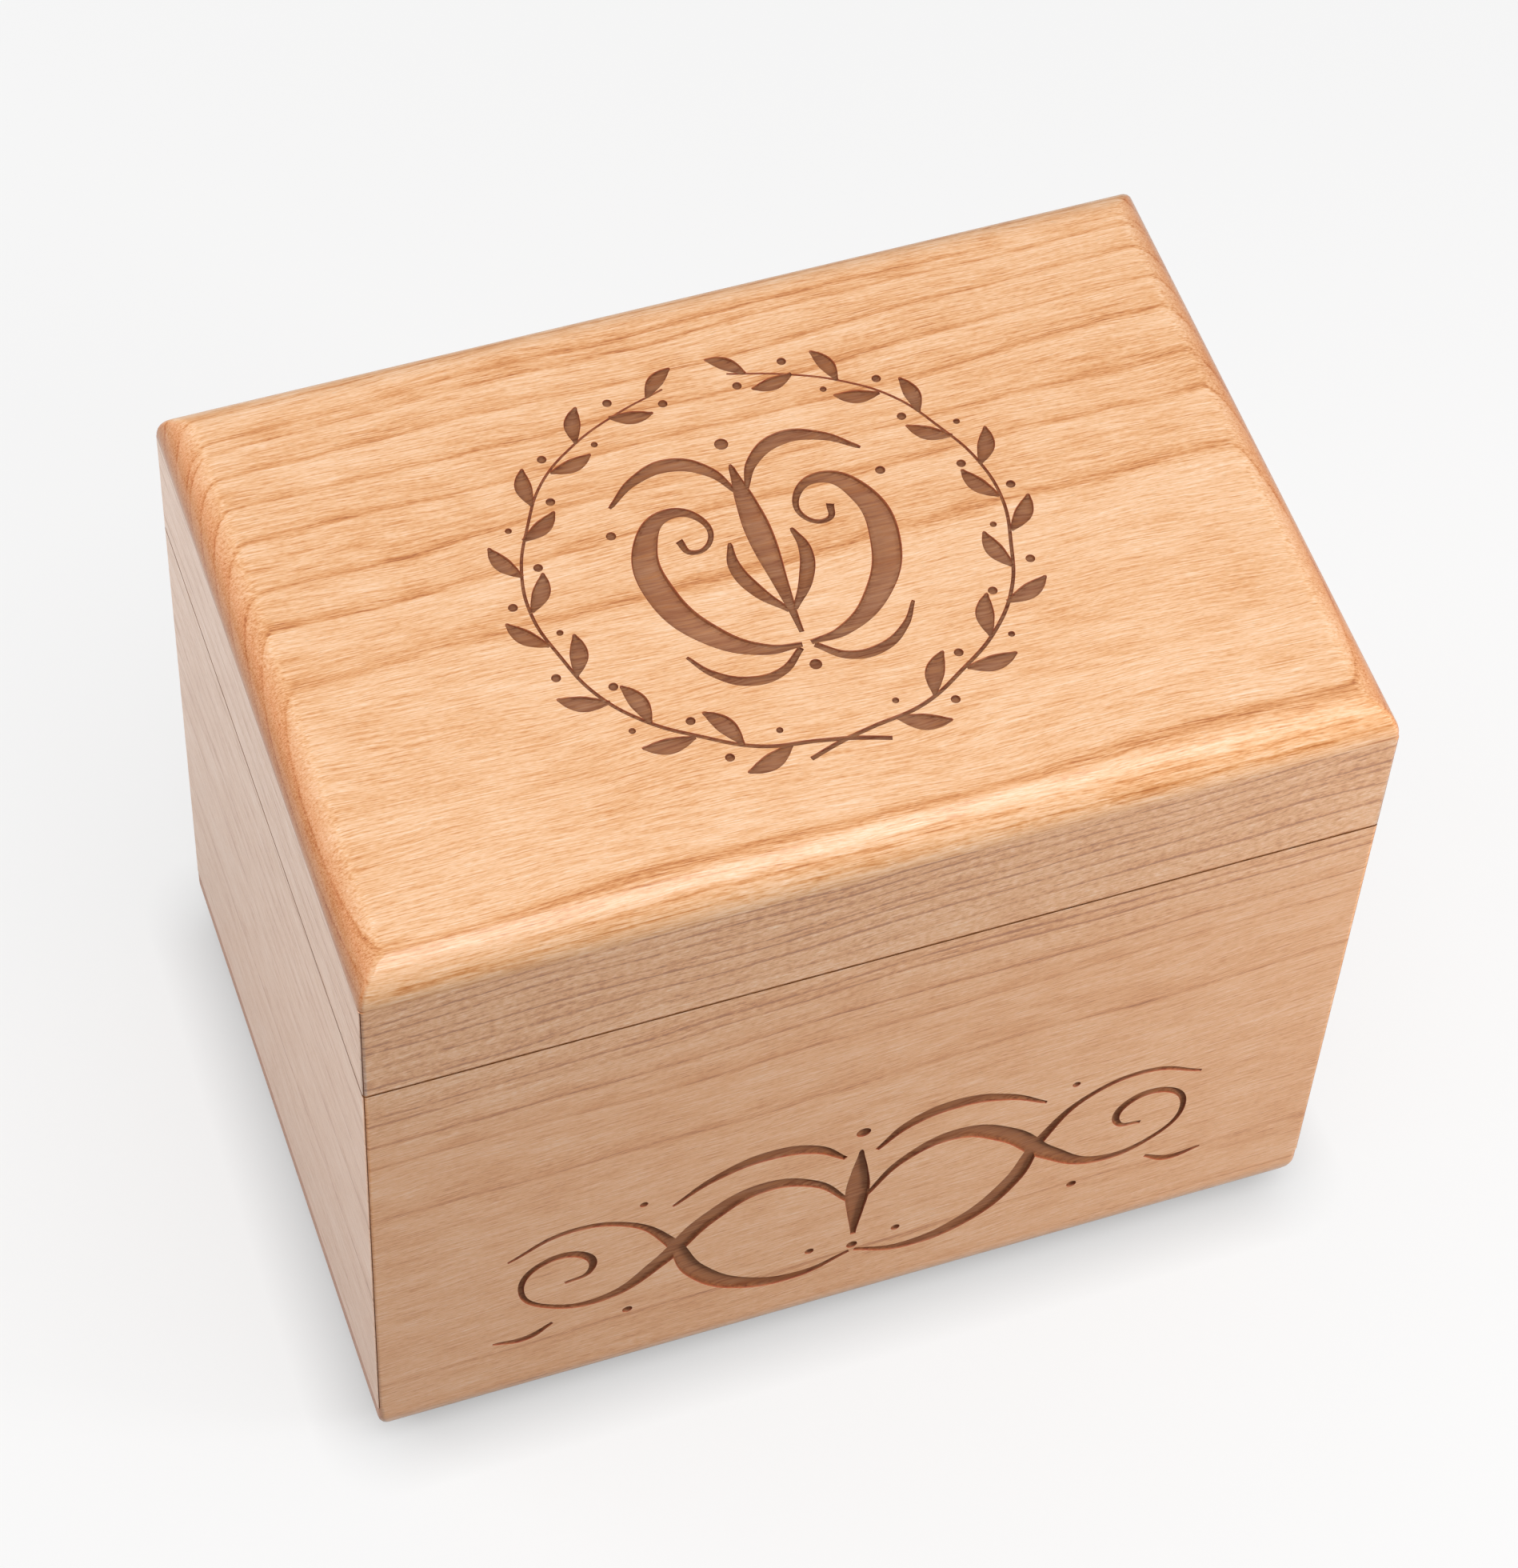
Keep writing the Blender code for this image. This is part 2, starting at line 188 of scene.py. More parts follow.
# the layers of noise: length and width of their spots in millimetres, then detail and roughness
SPOTS = {
    "sway": (70, 26, 1.0), "ripple": (18, 11, 2.0), "vigour": (90, 5, 1.0), "cloud": (55, 17, 1.0),
    "figure": (16.0, 5.0, 2.0), "hair": (8.0, 0.22, 1.0), "fibre": (9.0, 0.50, 3.0, 0.65),
    "dash": (1.4, 0.22, 1.0), "curl": (1.5, 0.9, 2.0, 0.65), "pore": (1.5, 0.16, 1.0),
}
SWAY, RIPPLE = 7.0, 1.3          # millimetres by which the trunk sways its rings, and by which they ripple


def bent_place(tree, sawn):
    """The board's directions, with the sway of the trunk in the one across the grain."""
    along, across, inward = board_directions(tree, sawn)
    straight = node(tree, "CombineXYZ", {0: along, 1: across, 2: inward}).outputs[0]
    sway = streaks(tree, straight, *SPOTS["sway"])
    ripple = streaks(tree, straight, *SPOTS["ripple"])
    bent = add_up(tree, across, [(along, sawn["rise"]), (sway, SWAY), (ripple, RIPPLE)])
    bent = node(tree, "Math", {0: bent, 1: (SWAY + RIPPLE) / 2}, operation="SUBTRACT").outputs[0]
    return node(tree, "CombineXYZ", {0: along, 1: bent, 2: inward}).outputs[0]


RING_EDGE = 0.25                 # millimetres over which a ring's line begins
HEART_SHARE = 0.3                # how far into a ring the pattern starts, nearest to the heart


def ring_distance(tree, sawn, place):
    """Millimetres outwards from the last ring's line."""
    across, inward = sawn["heart"]
    from_heart = node(tree, "VectorMath", {0: place, 1: (0, across, inward)}, operation="SUBTRACT").outputs[0]
    flat = node(tree, "VectorMath", {0: from_heart, 1: (0, 1, 1)}, operation="MULTIPLY").outputs[0]
    radius = node(tree, "VectorMath", {0: flat}, operation="LENGTH").outputs["Value"]
    radii = ring_radii(sawn)
    widest = max(outer - inner for inner, outer in zip(radii, radii[1:]))
    low, high = radii[0] - widest, radii[-1] + widest
    share = node(tree, "MapRange", {"Value": radius, "From Min": low, "From Max": high}).outputs[0]
    stops, last = [(0.0, HEART_SHARE)], low
    for ring in radii:
        stops.append(((ring - RING_EDGE - low) / (high - low), (ring - last) / widest))
        stops.append(((ring - low) / (high - low), 0.0))
        last = ring
    stops.append((1.0, 1.0))
    distance = ramp(tree, share, stops).outputs[0]
    return node(tree, "Math", {0: distance, 1: widest}, operation="MULTIPLY").outputs[0]


def fade(tree, value, width):
    """1 where the value is 0, falling softly to 0 where it reaches the width."""
    return node(tree, "MapRange", {"Value": value, "From Max": width, "To Min": 1.0, "To Max": 0.0},
                interpolation_type="SMOOTHSTEP").outputs[0]


# %% [markdown]
# A board's patterns add up to one tone, from dark to light. A ring is stronger in some places than in
# others. A board may be curly down to a height: there its rings are darker, and its fibres break into
# flakes.

# %% The tone of cherry
LINE_WIDTH, BAND_WIDTH = 0.65, 3.6       # millimetres: a ring's dark line, and the soft shade behind it
FIBRE_LEAN = 0.045                       # the fibres wind round the trunk a little, so they lean across it
NOISE_LOW, NOISE_HIGH = 0.35, 0.65       # where most values of a noise lie
WEAK_RING, STRONG_RING = 0.6, 1.2        # the strength of a ring where its noise is low, and where it is high
CURLY_FADE = 15.0                        # millimetres above and below its height in which the curl ends
CURLY_RINGS = 0.5                        # how much stronger the rings of curly wood are
PLAIN_FLAKES = 0.2                       # how flaky the fibres are elsewhere
STRENGTHS = {"hair": 0.72, "fibre": 0.72, "dash": 0.50, "figure": 0.30}      # times a board's own grain
CLOUD_STRENGTH = 0.20
MIDDLE = 0.5                             # the middle of a tone and of a noise


def curly_share(tree, look, across):
    """1 where the board is curly, falling to 0 at the height down to which it is."""
    edge = look["curly_to"]
    return node(tree, "MapRange", {"Value": across, "From Min": edge - CURLY_FADE,
                                   "From Max": edge + CURLY_FADE, "To Min": 1.0, "To Max": 0.0}).outputs[0]


def ring_shade(tree, look, place, line, band, curly):
    """How much the rings darken the wood."""
    vigour = node(tree, "MapRange", {"Value": streaks(tree, place, *SPOTS["vigour"]),
                                     "From Min": NOISE_LOW, "From Max": NOISE_HIGH,
                                     "To Min": WEAK_RING, "To Max": STRONG_RING}).outputs[0]
    rings = add_up(tree, 0.0, [(line, look["line"]), (band, look["band"])])
    for strength in (vigour, add_up(tree, 1.0, [(curly, CURLY_RINGS)])):
        rings = node(tree, "Math", {0: rings, 1: strength}, operation="MULTIPLY").outputs[0]
    return rings


def wood_noise(tree, place, along, across, inward):
    """The layers of noise by name. The finest lean with the fibres."""
    leaning = add_up(tree, across, [(along, FIBRE_LEAN)])
    fibres = node(tree, "CombineXYZ", {0: along, 1: leaning, 2: inward}).outputs[0]
    noise = {layer: streaks(tree, fibres, *SPOTS[layer]) for layer in ("hair", "fibre", "dash", "curl")}
    for layer in ("figure", "cloud", "pore"):
        noise[layer] = streaks(tree, place, *SPOTS[layer])
    return noise


def wood_tone(tree, look, noise, rings, curly):
    """The tone of the wood, from dark to light."""
    layers = [(noise[layer], strength * look["grain"]) for layer, strength in STRENGTHS.items()]
    layers.append((noise["cloud"], CLOUD_STRENGTH))
    tone = add_up(tree, MIDDLE - sum(factor for value, factor in layers) / 2, layers)
    curl = add_up(tree, -MIDDLE, [(noise["curl"], 1.0)])
    flaky = add_up(tree, PLAIN_FLAKES, [(curly, 1.0)])
    flakes = node(tree, "Math", {0: curl, 1: flaky}, operation="MULTIPLY").outputs[0]
    return add_up(tree, tone, [(flakes, look["curl"]), (rings, -1.0)])


# %% [markdown]
# A ramp of six shades turns the tone into a colour, and pores are darker. Curly wood is mixed towards a
# pale grey: a painted sheen on the upper part of the front and back. End grain drinks more of the finish,
# so the colour deepens where a face turns towards it; this darkening is made strong enough to be also
# painted shade, on the rounded left end of the top and the left end of the base.

# %% The colour of cherry
TONES = (0.0, 0.15, 0.32, 0.5, 0.7, 0.9)             # the places of a board's six shades
# how far curly wood is mixed towards a pale grey: a painted sheen, the reflection of a bright surround
CURLY_SHEEN, CURLY_SHEEN_TINT = 0.09, "DCD6C0"
PORE_SHADES = [(0.62, 1.0), (0.76, 0.84)]
# darker towards end grain: the finish soaks in deeper there, and the darkening is also painted shade on faces
# that turn away from the lamps
END_GRAIN_AND_SHADE = [(0.22, "FFFFFF"), (0.62, "E8D0BE"), (0.92, "CBB39F")]       # from long grain to end grain


def wood_colour(tree, sawn, look, tone, pores, curly):
    """The colour of the wood: its shades, a painted sheen on curly wood, and darker end grain that is partly
    painted shade.
    """
    colour = ramp(tree, tone, list(zip(TONES, look["shades"]))).outputs[0]
    sheen_share = add_up(tree, 0.0, [(curly, CURLY_SHEEN)])
    colour = node(tree, "Mix", {MIX_FACTOR: sheen_share, MIX_A: colour, MIX_B: linear(CURLY_SHEEN_TINT)},
                  data_type="RGBA").outputs[MIX_COLOUR]
    facing = node(tree, "VectorMath", {0: node(tree, "TexCoord", {}).outputs["Normal"], 1: sawn["grain"]},
                  operation="DOT_PRODUCT").outputs["Value"]
    turned = node(tree, "Math", {0: facing}, operation="ABSOLUTE").outputs[0]
    for darker in (pores, ramp(tree, turned, END_GRAIN_AND_SHADE).outputs[0]):
        colour = node(tree, "Mix", {MIX_FACTOR: 1.0, MIX_A: colour, MIX_B: darker},
                      data_type="RGBA", blend_type="MULTIPLY").outputs[MIX_COLOUR]
    return colour


# %% [markdown]
# The finish is a thin satin lacquer: a clear coat with a soft gloss, over wood whose fibres still show
# as a faint relief. Where the laser cut, the lacquer is gone and the same wood is charred: reddish at
# the lip, darkest about halfway down, and a lighter toasted brown on the floor. So the engraved version
# reads its shade from the depth of the cut, and the char follows the fibres.

# %% Cherry, lacquered or engraved
CHAR = [(0.0, "B0553C"), (0.2, "8E4630"), (0.45, "663620"), (0.85, "7E4A30"), (1.0, "966044")]
CHAR_LEAST, CHAR_FIBRE, CHAR_DASH = 0.30, 0.9, 0.2       # how far char covers the wood, and more by noise
WOOD_ROUGHNESS, DASH_ROUGHNESS, LINE_ROUGHNESS = 0.40, 0.12, -0.05
CHAR_ROUGHNESS = 0.72
COAT, COAT_ROUGHNESS = 0.7, 0.16
WOOD_SPECULAR = 0.2              # low, because the lacquer carries most of the gloss
FIBRE_RELIEF, PORE_RELIEF = 0.5, 0.4
RELIEF_STRENGTH, RELIEF_HEIGHT = 0.5, 0.008 * MM


def charred_colour(tree, colour, noise, inward, cut_depth):
    """The wood's colour under a char that changes with the depth of the cut."""
    share = node(tree, "Math", {0: inward, 1: cut_depth}, operation="DIVIDE").outputs[0]
    char = ramp(tree, share, CHAR).outputs[0]
    burnt = add_up(tree, CHAR_LEAST, [(noise["fibre"], CHAR_FIBRE), (noise["dash"], CHAR_DASH)])
    return node(tree, "Mix", {MIX_FACTOR: burnt, MIX_A: colour, MIX_B: char},
                data_type="RGBA").outputs[MIX_COLOUR]


def cherry(name, sawn, look, cut_depth=0):
    """look holds the board's shades and strengths. cut_depth is set on engraved wood, in millimetres."""
    material, tree, shader = new_material(name)
    place = bent_place(tree, sawn)
    along, across, inward = node(tree, "SeparateXYZ", {0: place}).outputs[:3]
    distance = ring_distance(tree, sawn, place)
    line, band = fade(tree, distance, LINE_WIDTH), fade(tree, distance, BAND_WIDTH)
    curly = curly_share(tree, look, across)
    rings = ring_shade(tree, look, place, line, band, curly)
    noise = wood_noise(tree, place, along, across, inward)
    tone = wood_tone(tree, look, noise, rings, curly)
    pores = ramp(tree, noise["pore"], PORE_SHADES).outputs[0]
    colour = wood_colour(tree, sawn, look, tone, pores, curly)
    if cut_depth:
        colour = charred_colour(tree, colour, noise, inward, cut_depth)
        shader.inputs["Roughness"].default_value = CHAR_ROUGHNESS
    else:
        satin = add_up(tree, WOOD_ROUGHNESS, [(noise["dash"], DASH_ROUGHNESS), (line, LINE_ROUGHNESS)])
        tree.links.new(satin, shader.inputs["Roughness"])
        shader.inputs["Coat Weight"].default_value = COAT
    relief = add_up(tree, 0.0, [(noise["dash"], FIBRE_RELIEF), (noise["fibre"], FIBRE_RELIEF),
                                (pores, PORE_RELIEF)])
    bump = node(tree, "Bump", {"Height": relief, "Strength": RELIEF_STRENGTH,
                               "Distance": RELIEF_HEIGHT}).outputs[0]
    tree.links.new(colour, shader.inputs["Base Color"])
    tree.links.new(bump, shader.inputs["Normal"])
    shader.inputs["Specular IOR Level"].default_value = WOOD_SPECULAR
    shader.inputs["Coat Roughness"].default_value = COAT_ROUGHNESS
    return material


# %% [markdown]
# Each board has its own six shades, from its darkest fibres to its lightest, and its own strengths of
# grain, ring lines, bands and curl; the left board's paler shades are a painted reflection. A dull brown
# goes on the fine edges: on the sawn rims it is painted shadow in the seam, and at the mitres the glue line.

# %% The boards' materials
TOP_SHADES = ("AE6837", "CB864D", "DEA26D", "EBBA8E", "F3CAA6", "F9DCC2")
FRONT_SHADES = ("AE6838", "CA834C", "DD9C66", "EBB07F", "F4C299", "FAD5B4")
# the left board's shades are paler and pinker than the others: a painted reflection of the pale floor that
# the left face mirrors
LEFT_SHEEN_SHADES = ("B8866A", "D0A080", "E2B696", "EEC6AA", "F5D3BB", "FAE2D0")
TOP_LOOK = dict(shades=TOP_SHADES, grain=1.0, line=0.18, band=0.12, curl=0.12, curly_to=-200.0)
FRONT_LOOK = dict(shades=FRONT_SHADES, grain=1.1, line=0.29, band=0.09, curl=0.90, curly_to=42.0)
LEFT_SHEEN_LOOK = dict(shades=LEFT_SHEEN_SHADES, grain=1.4, line=0.25, band=0.14, curl=0.50, curly_to=-200.0)
BASE_LOOK = dict(shades=FRONT_SHADES, grain=0.8, line=0.16, band=0.10, curl=0.30, curly_to=-200.0)
LOOKS = {"top": TOP_LOOK, "front": FRONT_LOOK, "left": LEFT_SHEEN_LOOK, "right": BASE_LOOK,
         "back": FRONT_LOOK, "base": BASE_LOOK}
CUT_DEPTH = 0.8                  # millimetres: the depth of the engraving
EDGE_SPOT = 3.0                  # millimetres: the size of the darker and lighter spots along an edge
# a dull brown: painted shadow of the seam on the sawn rims, and the glue line at the mitres
GLUE_AND_SHADE_TINTS = [(0.35, "5C3216"), (0.7, "80502E")]

wood = {board: cherry(f"lacquered_cherry_{board}", SAWN[board], LOOKS[board]) for board in SAWN}
charred = {board: cherry(f"engraved_cherry_{board}", SAWN[board], LOOKS[board], CUT_DEPTH)
           for board in ("top", "front")}

# the fine edges' brown: painted shadow in the seam between lid and box on the rims, glue line at the mitres
glue_and_seam_shade, edge_tree, edge_shader = new_material("glue_line_and_seam_shade")
edge_place = node(edge_tree, "VectorMath", {0: node(edge_tree, "TexCoord", {}).outputs["Object"],
                                            "Scale": 1 / MM}, operation="SCALE").outputs[0]
glue_and_shade_tint = ramp(edge_tree, streaks(edge_tree, edge_place, EDGE_SPOT, EDGE_SPOT), GLUE_AND_SHADE_TINTS)
edge_shader.inputs["Specular IOR Level"].default_value = 0.0
edge_tree.links.new(glue_and_shade_tint.outputs[0], edge_shader.inputs["Base Color"])
GLUE_AND_SHADE_SLOT, CUT_SLOT = 1, 2       # places in a board's list of materials
engraved = {board: [wood[board], glue_and_seam_shade, charred[board]] for board in charred}
print("wood materials", len(wood) + len(charred) + 1)


# %% [markdown]
# A piece starts as a bmesh and ends as an object that stands at the origin, with its place in its
# mesh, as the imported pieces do. Round faces are shaded smooth up to a set angle between them, so that
# an arris stays crisp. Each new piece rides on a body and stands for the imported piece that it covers.

# %% Helpers for pieces
SMOOTH_ANGLE = math.radians(32)
FLAT_AREA = 150 * MM * MM        # a face larger than this is a board's flat face
MERGE = 0.0001 * MM


def block(low, high):
    """A bmesh box between two corners."""
    bm = bmesh.new()
    bmesh.ops.create_cube(bm, size=1)
    low, high = Vector(low), Vector(high)
    bmesh.ops.scale(bm, vec=high - low, verts=bm.verts)
    bmesh.ops.translate(bm, vec=(low + high) / 2, verts=bm.verts)
    return bm


def shade(mesh):
    """Shades small faces smooth up to SMOOTH_ANGLE, and leaves large ones flat."""
    mesh.shade_smooth()
    mesh.set_sharp_from_angle(angle=SMOOTH_ANGLE)
    for polygon in mesh.polygons:
        polygon.use_smooth = polygon.area < FLAT_AREA


def new_object(name, bm, materials):
    """Turns a bmesh into an object at the origin, with its faces pointing outwards."""
    bmesh.ops.recalc_face_normals(bm, faces=bm.faces)
    if bm.calc_volume(signed=True) < 0:
        bmesh.ops.reverse_faces(bm, faces=bm.faces)
    mesh = bpy.data.meshes.new(name)
    bm.to_mesh(mesh)
    bm.free()
    for material in materials:
        mesh.materials.append(material)
    shade(mesh)
    obj = bpy.data.objects.new(name, mesh)
    bpy.context.scene.collection.objects.link(obj)
    return obj


def cut_out(obj, cutters):
    """Cuts closed cutters out of a closed object, for good, and removes them."""
    tray = bpy.data.collections.new("cutters")
    for cutter in cutters:
        tray.objects.link(cutter)
    change = obj.modifiers.new("cuts", "BOOLEAN")
    change.operation = "DIFFERENCE"
    change.solver = "MANIFOLD"
    change.operand_type = "COLLECTION"
    change.collection = tray
    bpy.context.view_layer.update()
    evaluated = obj.evaluated_get(bpy.context.evaluated_depsgraph_get())
    mesh = bpy.data.meshes.new_from_object(evaluated)
    before = len(obj.data.polygons)
    obj.modifiers.clear()
    obj.data = mesh
    shade(mesh)
    for cutter in cutters:
        bpy.data.objects.remove(cutter, do_unlink=True)
    bpy.data.collections.remove(tray)
    print(obj.name, "before its cuts", before, "faces, and after them", len(mesh.polygons))
    return obj


def place_on(obj, body, node_name):
    """Lets a piece ride on a body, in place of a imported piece."""
    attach(obj, body)
    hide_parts(node_name)
    return obj


# %% [markdown]
# The top and the base are one board each over the whole plan, with a quarter round routed along the
# outer edge. A flat face is given round corners, then extruded step by step along a quarter circle,
# and scaled in a little at each step. Scaling keeps the corner's radius, as sanding does, so the two
# rounds meet in a soft ridge. A last narrow inset keeps the large face perfectly flat in the light.

# %% Top and base boards
CORNER_RADIUS = 1.1 * MM
ROUND_STEPS = 14
FLAT_MARGIN = 0.4 * MM


def routed_board(name, low, high, radius, up, materials):
    """A board with a quarter round along its upper edge, or along its lower edge where up is -1."""
    size, centre = high - low, (low + high) / 2
    start = low.z if up > 0 else high.z
    bm = bmesh.new()
    bmesh.ops.create_grid(bm, x_segments=1, y_segments=1, size=0.5)
    bmesh.ops.scale(bm, vec=(size.x, size.y, 1), verts=bm.verts)
    bmesh.ops.translate(bm, vec=(centre.x, centre.y, start), verts=bm.verts)
    bmesh.ops.bevel(bm, geom=bm.verts[:], offset=CORNER_RADIUS, segments=5, profile=0.5,
                    affect="VERTICES", material=-1)
    face = bm.faces[:][0]
    height, inset = 0.0, 0.0
    levels = [(size.z - radius, 0.0)]
    for step in range(1, ROUND_STEPS + 1):
        turn = math.pi / 2 * step / ROUND_STEPS
        levels.append((size.z - radius + radius * math.sin(turn), radius * (1 - math.cos(turn))))
    for step, (next_height, next_inset) in enumerate(levels):
        swept = bmesh.ops.extrude_face_region(bm, geom=[face], use_keep_orig=True)
        if step:
            bmesh.ops.delete(bm, geom=[face], context="FACES_ONLY")
        face = [item for item in swept["geom"] if isinstance(item, bmesh.types.BMFace)][0]
        verts = face.verts[:]
        shrink = [(size[axis] / 2 - next_inset) / (size[axis] / 2 - inset) for axis in (0, 1)]
        bmesh.ops.scale(bm, vec=(*shrink, 1), verts=verts, space=Matrix.Translation(-centre))
        bmesh.ops.translate(bm, vec=(0, 0, up * (next_height - height)), verts=verts)
        height, inset = next_height, next_inset
    bmesh.ops.inset_region(bm, faces=[face], thickness=FLAT_MARGIN)
    return new_object(name, bm, materials)


TOP_ROUND = 7.2 * MM
BASE_ROUND = 10.0 * MM
lid_board = routed_board("cherry_lid_top", TOP_LOW, TOP_HIGH, TOP_ROUND, 1, engraved["top"])
base_board = routed_board("cherry_base", BASE_LOW, BASE_HIGH, BASE_ROUND, -1, [wood["base"]])
print("top and base", len(lid_board.data.polygons), len(base_board.data.polygons), "faces")


# %% [markdown]
# The walls are planks sawn at 45 degrees, which meet in a mitre. In the imported model thin gaps part
# them, but glue closes the real joints: what is left to see is a hair line down each corner. So each
# plank is made again at its full length, its outer corners and sawn rim are eased, and the mitres are
# cut through the very corner. A tiny bevel on each side of the cut makes the hair line, and its brown
# is the glue line. The eased faces of the sawn rim get the same dull brown as painted shadow of the seam.

# %% Walls of box and lid
CORNER_EASE = 0.8 * MM
RIM_EASE = 0.14 * MM
HAIR_LINE = 0.09 * MM
SIDES = {"front": (WIDTH, DEPTH / 2, 0), "right": (DEPTH, WIDTH / 2, math.pi / 2),
         "back": (WIDTH, DEPTH / 2, math.pi), "left": (DEPTH, WIDTH / 2, -math.pi / 2)}


def mitred_wall(name, side, low, high, rim, materials):
    """A plank with its outer face at -Y, mitred at both ends, then turned to its side of the box."""
    length, reach, turn = SIDES[side]
    inner = WALL - reach
    bm = block((-length / 2, -reach, low), (length / 2, inner, high))
    corners = [edge for edge in bm.edges
               if abs(edge.verts[0].co.z - edge.verts[1].co.z) > MERGE and edge.verts[0].co.y < inner - MERGE]
    bmesh.ops.bevel(bm, geom=corners, offset=CORNER_EASE, segments=7, profile=0.5, affect="EDGES",
                    material=-1)
    # the eased sawn rim takes the dull brown: painted shadow in the seam between lid and box
    sawn_edges = [edge for edge in bm.edges if all(abs(vert.co.z - rim) < MERGE for vert in edge.verts)]
    bmesh.ops.bevel(bm, geom=sawn_edges, offset=RIM_EASE, segments=2, profile=0.5, affect="EDGES",
                    material=GLUE_AND_SHADE_SLOT)
    for end in (-1, 1):
        across = Vector((end, 1, 0)).normalized()
        corner = Vector((end * length / 2, -reach, 0))
        geom = bm.verts[:] + bm.edges[:] + bm.faces[:]
        cut = bmesh.ops.bisect_plane(bm, geom=geom, plane_co=corner, plane_no=across, clear_outer=True)
        ends = [item for item in cut["geom_cut"] if isinstance(item, bmesh.types.BMEdge)]
        bmesh.ops.contextual_create(bm, geom=ends)
        arris = [edge for edge in bm.edges
                 if all(abs((vert.co - corner).dot(across)) < MERGE and vert.co.y < CORNER_EASE - reach
                        for vert in edge.verts)
                 and abs(edge.verts[0].co.z - edge.verts[1].co.z) > WALL]
        # the hair line takes the same brown, which there is the mitre's glue line
        bmesh.ops.bevel(bm, geom=arris, offset=HAIR_LINE, segments=1, profile=0.5, affect="EDGES",
                        material=GLUE_AND_SHADE_SLOT)
    bmesh.ops.rotate(bm, matrix=Matrix.Rotation(turn, 3, "Z"), verts=bm.verts)
    return new_object(name, bm, materials)


walls = {}
for side in SIDES:
    finish = engraved.get(side, [wood[side], glue_and_seam_shade])
    walls["box", side] = mitred_wall(f"cherry_box_{side}", side, BASE_HIGH.z, BOX_RIM, BOX_RIM, finish)
    walls["lid", side] = mitred_wall(f"cherry_lid_{side}", side, LID_RIM, TOP_LOW.z, LID_RIM, finish)
print("walls", len(walls))


# %% [markdown]
# Each hinge leaf lies in a pocket chopped into the back rims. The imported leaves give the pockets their
# length and place, and the pockets are cut with plain blocks.

# %% Pockets for the hinges
LEAF_THICKNESS = 1.2 * MM
POCKET_GAP = 0.1 * MM
OVERRUN = 2.0 * MM
HANDS = ("left", "right")


def pocket_cutter(part, hand):
    """A block where a leaf lies in the back rim."""
    low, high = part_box(f"{hand}_hinge_{part}_leaf")
    rim, inward = (BOX_RIM, -1) if part == "box" else (LID_RIM, 1)
    floor = rim + inward * (LEAF_THICKNESS + POCKET_GAP)
    heights = sorted((floor, rim - inward * OVERRUN))
    bm = block((low.x - POCKET_GAP, low.y - POCKET_GAP, heights[0]),
               (high.x + POCKET_GAP, high.y, heights[1]))
    return new_object(f"pocket_{part}_{hand}", bm, [wood["back"]])


for part in ("box", "lid"):
    cut_out(walls[part, "back"], [pocket_cutter(part, hand) for hand in HANDS])


# %% [markdown]
# The engraving is cut for real. A stroke swells and thins like a pen's: it is a smooth curve with a
# width at each of its points. Blender sweeps a groove-shaped profile along it and scales it by that
# width. The swept shape's lower side is then pressed to the laser's depth, so that a hair line is
# shallow and a broad stroke has a flat floor with rounded sides. Berries and dots are flattened balls.

# %% Helpers for engraving
SOFT_DEPTH = 0.55                # millimetres of half width at which a stroke is about two thirds as deep
CURVE_STEPS = 10                 # between two points of a stroke
STROKE_MERGE = 0.0005            # millimetres: points of a stroke that are nearer than this are one
ABOVE = 0.001                    # millimetres: a point higher than this is on the upper side of a cutter
GROOVE = ((-1, 1), (-1, 0), (-0.87, -0.4), (-0.55, -0.8), (0, -1), (0.55, -0.8), (0.87, -0.4), (1, 0), (1, 1))
profile_curve = bpy.data.curves.new("groove_profile", "CURVE")
profile_curve.dimensions = "2D"
profile_line = profile_curve.splines.new("POLY")
profile_line.points.add(len(GROOVE) - 1)
for point, (x, y) in zip(profile_line.points, GROOVE):
    point.co = (x, y, 0, 1)
profile_line.use_cyclic_u = True
groove_profile = bpy.data.objects.new("groove_profile", profile_curve)
groove_profile.hide_render = True
bpy.context.scene.collection.objects.link(groove_profile)


def swept_stroke(stroke):
    """A bmesh with the groove profile swept along a stroke, in millimetres: (x, y, half width) points."""
    curve = bpy.data.curves.new("stroke", "CURVE")
    curve.dimensions = "3D"
    curve.twist_mode = "Z_UP"
    curve.bevel_mode = "OBJECT"
    curve.bevel_object = groove_profile
    curve.use_fill_caps = True
    curve.resolution_u = CURVE_STEPS
    line = curve.splines.new("BEZIER")
    line.radius_interpolation = "BSPLINE"
    line.bezier_points.add(len(stroke) - 1)
    for point, (x, y, half_width) in zip(line.bezier_points, stroke):
        point.co = (x, y, 0)
        point.radius = half_width
        point.handle_left_type = point.handle_right_type = "AUTO"
    obj = bpy.data.objects.new("stroke", curve)
    bpy.context.scene.collection.objects.link(obj)
    evaluated = obj.evaluated_get(bpy.context.evaluated_depsgraph_get())
    mesh = bpy.data.meshes.new_from_object(evaluated)
    bm = bmesh.new()
    bm.from_mesh(mesh)
    bmesh.ops.remove_doubles(bm, verts=bm.verts, dist=STROKE_MERGE)
    bpy.data.objects.remove(obj, do_unlink=True)
    bpy.data.meshes.remove(mesh)
    return bm


def flat_dot(x, y, radius):
    """A bmesh ball for a berry or a dot, in millimetres."""
    bm = bmesh.new()
    bmesh.ops.create_uvsphere(bm, u_segments=20, v_segments=10, radius=radius)
    bmesh.ops.translate(bm, vec=(x, y, 0), verts=bm.verts)
    return bm


